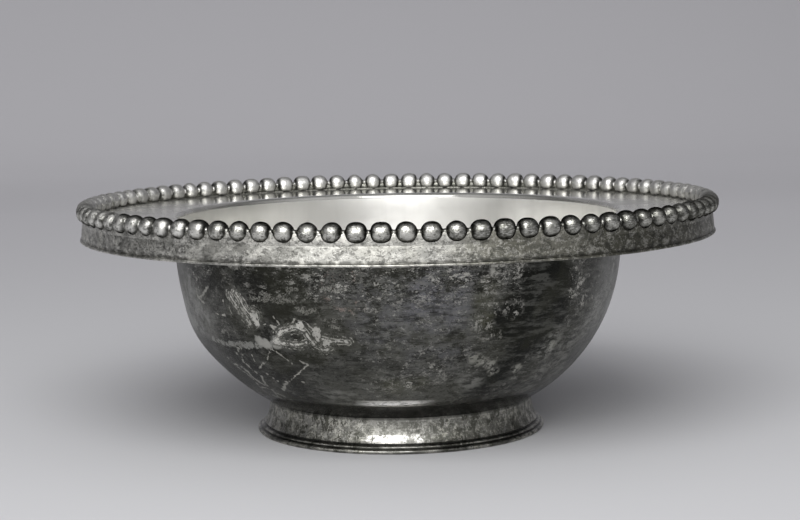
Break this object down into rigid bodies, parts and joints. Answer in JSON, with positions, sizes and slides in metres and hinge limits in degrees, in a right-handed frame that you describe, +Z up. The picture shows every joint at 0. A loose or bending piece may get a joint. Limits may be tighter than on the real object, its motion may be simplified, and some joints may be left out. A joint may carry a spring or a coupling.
{
  "type": "footed bowl",
  "caption": "Footed metal bowl with a wide flat flange, a hanging apron and a beaded rim. Holds food or water and stands on its foot ring.",
  "frame": {"origin": "on the table, at the centre of the foot ring's standing face", "axes": "+Z up along the bowl's axis of revolution, -Y the front"},
  "size_m": [0.268, 0.268, 0.0991],
  "materials": {
    "raised_silver": "raised and planished silver, bright inside, dark tarnish outside",
    "apron_silver": "worn silver with patchy grey tarnish",
    "bead_silver": "burnished solid silver beads, dark in the hollows",
    "foot_silver": "turned silver with grey tarnish",
    "solder": "dull grey silver solder"
  },
  "bodies": {
    "root": {"bowl_body": "raised_silver", "rim_apron": "apron_silver", "bead_moulding": "bead_silver", "rim_solder_seam": "solder", "foot_ring": "foot_silver", "foot_solder_seam": "solder"}
  },
  "joints": []
}
